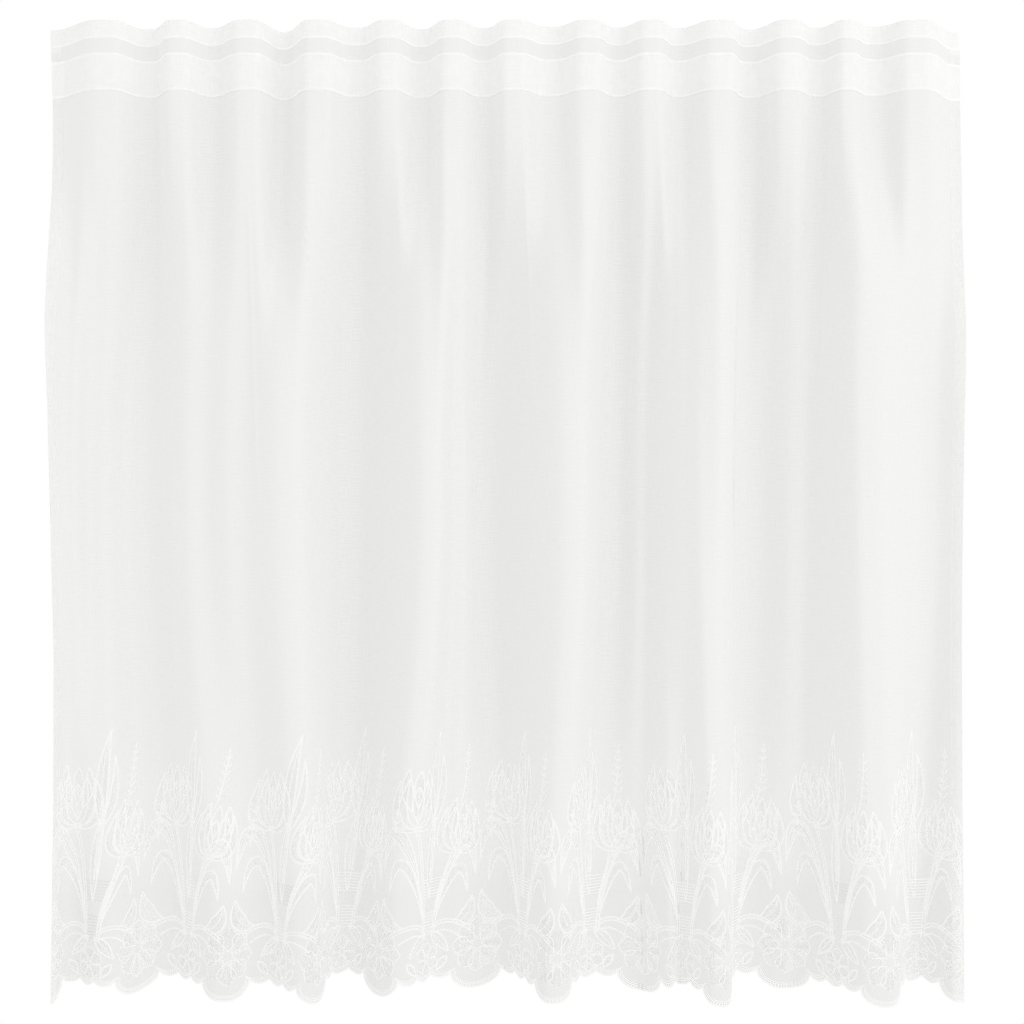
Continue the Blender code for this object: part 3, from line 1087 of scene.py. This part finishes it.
def cut_at_sides(mesh):
    """Cuts flat work off at the cloth's side edges, and closes the cut ends."""
    bm = bmesh.new()
    bm.from_mesh(mesh)
    for place, way in ((LACE_CUT, -1.0), (FLAT_WIDTH - LACE_CUT, 1.0)):
        near = bmesh.ops.bisect_plane(
            bm, geom=bm.verts[:] + bm.edges[:] + bm.faces[:], plane_co=(place, 0.0, 0.0),
            plane_no=(way, 0.0, 0.0), clear_outer=True)
        cut = [item for item in near["geom_cut"] if isinstance(item, bmesh.types.BMEdge)]
        bmesh.ops.holes_fill(bm, edges=[edge for edge in cut if edge.is_boundary])
    bmesh.ops.recalc_face_normals(bm, faces=bm.faces)
    bm.to_mesh(mesh)
    bm.free()


def hung_work(name, mesh, material):
    """Flat work hung on the folds as a piece."""
    if "thickness" in mesh.attributes:
        mesh.attributes.remove(mesh.attributes["thickness"])
    flat = np.empty(len(mesh.vertices) * 3, np.float32)
    mesh.vertices.foreach_get("co", flat)
    flat = flat.reshape(-1, 3)
    while mesh.uv_layers:
        mesh.uv_layers.remove(mesh.uv_layers[0])
    add_flat_map(mesh, flat[:, :2] * MM)
    mesh.vertices.foreach_set("co", hang(flat).astype(np.float32).ravel())
    mesh.update()
    return placed(name, mesh, material)


# The lace's yarn and ground give off the painted glow set by colours.glow
def yarn(colours):
    return material_once("lace_yarn", woven_material, colours.yarn, YARN_PITCH, 1.0, colours.glow)


def ground(colours):
    return material_once("lace_ground", woven_material, colours.yarn, GROUND_PITCH,
                         colours.ground_fullness, colours.glow)


def lace_pair(name, leaves, threads, outline, sizes, colours):
    """One kind of motif across the curtain's foot: its raised threads, and the ground inside them."""
    lines = [thread for order, leaf in enumerate(leaves)
             for thread in leaf_threads(leaf, outline / MM, sizes.vein / MM, LAYER_STEP * (order % LAYERS))]
    yarn_mesh = grown(line_mesh(lines + threads), thread_tree(), Material=yarn(colours))
    cut_at_sides(yarn_mesh)
    hung_work(name + "_threads", yarn_mesh, yarn(colours))
    filled = grown(ground_mesh(leaves, sizes.crown / MM), ground_tree(), Material=ground(colours))
    cut_at_sides(filled)
    hung_work(name + "_grounds", filled, ground(colours))


# The edging, hems, tape and stitches


def edge_line(inset):
    """One repeat of the scalloped edge, some way in from the cloth's foot, as (across, up) points."""
    turns = np.linspace(0.0, math.pi / 2.0, HALF_LOBE_POINTS)
    half, deep = LOBE_HALF - inset, LOBE_DEEP - inset
    right = np.column_stack([half * np.sin(turns), -deep * np.cos(turns)])
    along = np.linspace(0.0, 1.0, SCALLOPS * EDGING_STEPS + 1)
    wide = REPEAT - 2.0 * half
    dips = -SCALLOP_DEEP * np.abs(np.sin(np.pi * SCALLOPS * along)) + inset
    scallops = np.column_stack([half + wide * along, dips])
    left = np.column_stack([REPEAT - right[::-1, 0], right[::-1, 1]])
    return np.concatenate([right[:-1], scallops, left[1:]])


def make_edging(sizes, colours):
    """The cord along the scallops, two finer threads inside it, and bars to the first of them."""
    cord, second, inner = (edge_line(inset) for inset in EDGING_IN)
    threads = [
        Thread(cord, sizes.edging / MM, 0.0),
        Thread(second, sizes.vein / MM, 0.0),
        Thread(inner, sizes.vein / MM, 0.0),
    ]
    threads += [Thread(bar, sizes.vein / MM * BAR_SHARE, 0.0) for bar in zip(cord, second)]
    mesh = grown(line_mesh(threads), thread_tree(), Material=yarn(colours))
    cut_at_sides(mesh)
    hung_work("scalloped_edging", mesh, yarn(colours))


def make_hems(colours):
    """The top hem, turned over to the back, and the two side hems."""
    turned_over = ((0.0, HEM_FRONT), (-HEM_BULGE, (HEM_FRONT + HEM_BACK) / 2.0), (0.0, HEM_BACK),
                   (TOP_HEM, HEM_BACK), (TOP_HEM, HEM_FRONT))
    flat, faces = swept(turned_over, steps_across(HEM_IN, HEM_STEP))
    # The hems give off the painted band glow
    cloth = material_once("hem_voile", woven_material, colours.doubled, VOILE_PITCH, HEM_FULLNESS,
                          colours.painted_band_glow)
    made_outward(finished_piece("top_hem", flat, faces, cloth))
    inner = sheet_columns()
    inner = inner[(inner > 0.0) & (inner < SIDE_HEM)]
    left = np.concatenate([[SIDE_TURN], inner, [SIDE_HEM]])
    for name, u in (("left_hem", left), ("right_hem", FLAT_WIDTH - left[::-1])):
        rows = [np.column_stack([u, np.full(len(u), -down)]) for down in SHEET_ROWS if down > TOP_HEM]
        rows.append(np.column_stack([u, FOOT_TURN - foot_of(u)]))
        flat, faces = shell(np.array(rows), HEM_FRONT, HEM_BACK)
        made_outward(finished_piece(name, flat, faces, cloth))


def make_tape(colours):
    """The woven heading tape, with a rounded selvedge along each edge."""
    middle, raised = (TAPE_FRONT + TAPE_BACK) / 2.0, TAPE_BACK - SELVEDGE_RAISED
    selvedge = [(0.0, TAPE_FRONT), (-TAPE_BULGE, middle), (0.0, raised), (SELVEDGE_WIDE, raised),
                (SELVEDGE_WIDE + SELVEDGE_SLOPE, TAPE_BACK)]
    profile = [(TAPE_TOP + down, height) for down, height in selvedge]
    profile += [(TAPE_FOOT - down, height) for down, height in reversed(selvedge)]
    flat, faces = swept(profile, steps_across(TAPE_IN, TAPE_STEP))
    # The tape gives off the painted band glow
    tape = material_once("gauze_tape", woven_material, colours.tape, TAPE_PITCH, TAPE_FULLNESS,
                         colours.painted_band_glow)
    piece = finished_piece("gathering_tape", flat, faces, tape)
    made_outward(piece)
    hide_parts("heading_tape")


def make_stitches(sizes, colours):
    """Rows of machine stitches that show on both faces of the cloth."""
    hem_across = steps_across(ROW_IN, ROW_STEP)
    tape_across = steps_across(TAPE_IN + 2.0, ROW_STEP)
    side_down = np.arange(TOP_HEM + ROW_IN, NOTCH_LINE + SIDE_ROW_PAST, ROW_STEP)
    side_in = SIDE_HEM - HEM_STITCH_IN
    hem_lines = [[(across, HEM_STITCH_IN - TOP_HEM) for across in hem_across]]
    hem_lines += [[(across, -down) for down in side_down] for across in (side_in, FLAT_WIDTH - side_in)]
    tape_lines = [[(across, -down) for across in tape_across]
                  for down in (TAPE_TOP + TAPE_STITCH_IN, TAPE_FOOT - TAPE_STITCH_IN)]
    tree = stitch_tree()
    for name, lines, middle, depth, slot in (
            ("hem_stitches", hem_lines, HEM_STITCH_MIDDLE, HEM_STITCH_DEPTH, "sheer_cloth"),
            ("tape_stitches", tape_lines, TAPE_STITCH_MIDDLE, TAPE_STITCH_DEPTH, "woven_tape")):
        rows = [Thread(line, 0.0, middle) for line in lines]
        mesh = grown(line_mesh(rows), tree, Pitch=sizes.stitch_pitch / MM, Depth=depth,
                     Material=yarn(colours))
        hung_work(name, mesh, yarn(colours))


# The settings, as a user of the add-on sees them


def thickness_setting(name, description, default):
    return bpy.props.FloatProperty(name=name, description=description, default=default, unit="LENGTH")


def colour_setting(name, description, default):
    return bpy.props.FloatVectorProperty(name=name, description=description, default=default,
                                         subtype="COLOR")


def share_setting(name, description, default):
    return bpy.props.FloatProperty(name=name, description=description, default=default, min=0.0, max=1.0,
                                   subtype="FACTOR")


class CurtainSizes(bpy.types.PropertyGroup):
    outline: thickness_setting("Outline yarn", "Thickness of the yarn around leaves and petals", 0.0025)
    flower_outline: thickness_setting("Flower yarn", "Thickness of the yarn around round flowers", 0.0016)
    vein: thickness_setting("Vein yarn", "Thickness of the yarn in veins and bars", 0.0014)
    edging: thickness_setting("Edging cord", "Thickness of the cord along the scallops", 0.0028)
    crown: thickness_setting("Ground crown", "How far the worked ground of a petal stands up", 0.0002)
    stitch_pitch: thickness_setting("Stitch pitch", "Length of one machine stitch with its gap", 0.0042)


class CurtainColours(bpy.types.PropertyGroup):
    cloth: colour_setting("Sheer", "Colour of the single sheer", (0.63, 0.637, 0.618))
    # Doubled cloth, tape and yarn are darker than the sheer, and much of their brightness comes from the
    # painted glows below
    doubled: colour_setting("Doubled cloth", "Colour of the sheer over a hem or tape", (0.48, 0.48, 0.472))
    net: colour_setting("Ground net", "Colour of the open ground of the lace", (0.56, 0.566, 0.548))
    yarn: colour_setting("Lace yarn", "Colour of the lace's yarn", (0.32, 0.32, 0.315))
    tape: colour_setting("Tape", "Colour of the heading tape", (0.52, 0.52, 0.512))
    ground_fullness: share_setting("Ground fullness", "Light that a petal's worked ground holds back", 0.22)
    # Both glows are painted light: emission that stands in for light through yarn and doubled cloth from
    # behind
    glow: share_setting("Yarn glow", "Light that comes through the lace's yarn from behind", 0.57)
    painted_band_glow: share_setting("Band glow", "Light that comes through doubled cloth from behind", 0.375)
    fullness: share_setting("Fullness", "How much of the light the sheer holds back", 0.45)


class CURTAIN_OT_panel(bpy.types.Operator):
    """Make the sheer panel, hung in its folds"""
    bl_idname = "curtain.panel"
    bl_label = "Curtain panel"

    def execute(self, context):
        make_sheet(context.scene.curtain_colours)
        return {"FINISHED"}


class CURTAIN_OT_hems(bpy.types.Operator):
    """Make the top hem and the side hems"""
    bl_idname = "curtain.hems"
    bl_label = "Hems"

    def execute(self, context):
        make_hems(context.scene.curtain_colours)
        return {"FINISHED"}


class CURTAIN_OT_tape(bpy.types.Operator):
    """Make the heading tape"""
    bl_idname = "curtain.tape"
    bl_label = "Heading tape"

    def execute(self, context):
        make_tape(context.scene.curtain_colours)
        return {"FINISHED"}


class CURTAIN_OT_leaves(bpy.types.Operator):
    """Make the lace's stems, leaves and sprigs"""
    bl_idname = "curtain.leaves"
    bl_label = "Lace leaves"

    def execute(self, context):
        sizes, colours = context.scene.curtain_sizes, context.scene.curtain_colours
        lace_pair("leaves", LEAVES, stem_lines(sizes) + sprig_lines(sizes), sizes.outline, sizes, colours)
        return {"FINISHED"}


class CURTAIN_OT_tulips(bpy.types.Operator):
    """Make the lace's tulips"""
    bl_idname = "curtain.tulips"
    bl_label = "Lace tulips"

    def execute(self, context):
        sizes, colours = context.scene.curtain_sizes, context.scene.curtain_colours
        lace_pair("tulips", tulip_petals(), [], sizes.outline, sizes, colours)
        return {"FINISHED"}


class CURTAIN_OT_flowers(bpy.types.Operator):
    """Make the lace's round flowers"""
    bl_idname = "curtain.flowers"
    bl_label = "Lace flowers"

    def execute(self, context):
        sizes, colours = context.scene.curtain_sizes, context.scene.curtain_colours
        lace_pair("flowers", flower_petals(), [], sizes.flower_outline, sizes, colours)
        return {"FINISHED"}


class CURTAIN_OT_edging(bpy.types.Operator):
    """Make the cord and bars along the scallops"""
    bl_idname = "curtain.edging"
    bl_label = "Scalloped edging"

    def execute(self, context):
        make_edging(context.scene.curtain_sizes, context.scene.curtain_colours)
        return {"FINISHED"}


class CURTAIN_OT_stitches(bpy.types.Operator):
    """Make the rows of stitches on the hems and the tape"""
    bl_idname = "curtain.stitches"
    bl_label = "Stitches"

    def execute(self, context):
        make_stitches(context.scene.curtain_sizes, context.scene.curtain_colours)
        return {"FINISHED"}


def add_light(name, place, aim, size, power):
    data = bpy.data.lights.new(name, "AREA")
    data.size = size
    data.energy = power
    light = bpy.data.objects.new(name, data)
    light.location = place
    light.rotation_mode = "QUATERNION"
    light.rotation_quaternion = (Vector(aim) - Vector(place)).to_track_quat("-Z", "Y")
    bpy.context.scene.collection.objects.link(light)


def make_stage():
    scene = bpy.context.scene
    scene.view_settings.view_transform = "Standard"
    camera = bpy.data.objects.new("camera", bpy.data.cameras.new("camera"))
    camera.data.lens = LENS
    camera.data.sensor_width = SENSOR
    camera.location = (CAMERA_ACROSS * MM, -CAMERA_AWAY * MM, -CAMERA_DOWN * MM)
    camera.rotation_euler = (math.radians(90.0), 0.0, 0.0)
    scene.collection.objects.link(camera)
    scene.camera = camera
    world = bpy.data.worlds.new("studio")
    world.use_nodes = True
    background = world.node_tree.nodes["Background"]
    background.inputs["Color"].default_value = (1.0, 1.0, 1.0, 1.0)
    world.cycles.sampling_method = "NONE"
    scene.world = world
    mesh = bpy.data.meshes.new("floor")
    corners = [(x * FLOOR_REACH, y * FLOOR_REACH, -FLOOR_DOWN * MM)
               for x, y in ((-1.0, -1.0), (1.0, -1.0), (1.0, 1.0), (-1.0, 1.0))]
    mesh.from_pydata(corners, [], [(0, 1, 2, 3)])
    floor = bpy.data.objects.new("floor", mesh)
    material, tree, shader = new_material("pale_floor", (0.85, 0.85, 0.85), roughness=0.9, sheen=0.0)
    glow = tree.nodes.new("ShaderNodeEmission")
    choice = tree.nodes.new("ShaderNodeMixShader")
    path = tree.nodes.new("ShaderNodeLightPath")
    tree.links.new(path.outputs["Is Camera Ray"], choice.inputs[0])
    tree.links.new(shader.outputs[0], choice.inputs[1])
    tree.links.new(glow.outputs[0], choice.inputs[2])
    tree.links.new(choice.outputs[0], tree.nodes["Material Output"].inputs["Surface"])
    mesh.materials.append(material)
    scene.collection.objects.link(floor)
    add_light("key", KEY_PLACE, KEY_AIM, KEY_SIZE, KEY_POWER)


class CURTAIN_OT_stage(bpy.types.Operator):
    """Make the floor, the light and the camera"""
    bl_idname = "curtain.stage"
    bl_label = "Stage"

    def execute(self, context):
        make_stage()
        return {"FINISHED"}


OPERATORS = (
    CURTAIN_OT_hems, CURTAIN_OT_tape, CURTAIN_OT_leaves, CURTAIN_OT_tulips, CURTAIN_OT_flowers,
    CURTAIN_OT_edging, CURTAIN_OT_stitches, CURTAIN_OT_panel, CURTAIN_OT_stage,
)


class CURTAIN_PT_pieces(bpy.types.Panel):
    """The curtain's pieces and their settings"""
    bl_idname = "CURTAIN_PT_pieces"
    bl_label = "Lace curtain"
    bl_space_type = "VIEW_3D"
    bl_region_type = "UI"
    bl_category = "Lace curtain"

    def draw(self, context):
        for operator in OPERATORS:
            self.layout.operator(operator.bl_idname)
        for group in (context.scene.curtain_sizes, context.scene.curtain_colours):
            for name in group.__annotations__:
                self.layout.prop(group, name)


CLASSES = (CurtainSizes, CurtainColours, *OPERATORS, CURTAIN_PT_pieces)


def register():
    for cls in CLASSES:
        bpy.utils.register_class(cls)
    bpy.types.Scene.curtain_sizes = bpy.props.PointerProperty(type=CurtainSizes)
    bpy.types.Scene.curtain_colours = bpy.props.PointerProperty(type=CurtainColours)


def unregister():
    del bpy.types.Scene.curtain_colours
    del bpy.types.Scene.curtain_sizes
    for cls in reversed(CLASSES):
        bpy.utils.unregister_class(cls)


def main():
    register()
    bpy.ops.curtain.hems()
    bpy.ops.curtain.tape()
    bpy.ops.curtain.leaves()
    bpy.ops.curtain.tulips()
    bpy.ops.curtain.flowers()
    bpy.ops.curtain.edging()
    bpy.ops.curtain.stitches()
    bpy.ops.curtain.panel()
    bpy.ops.curtain.stage()


if __name__ == "__main__":
    main()
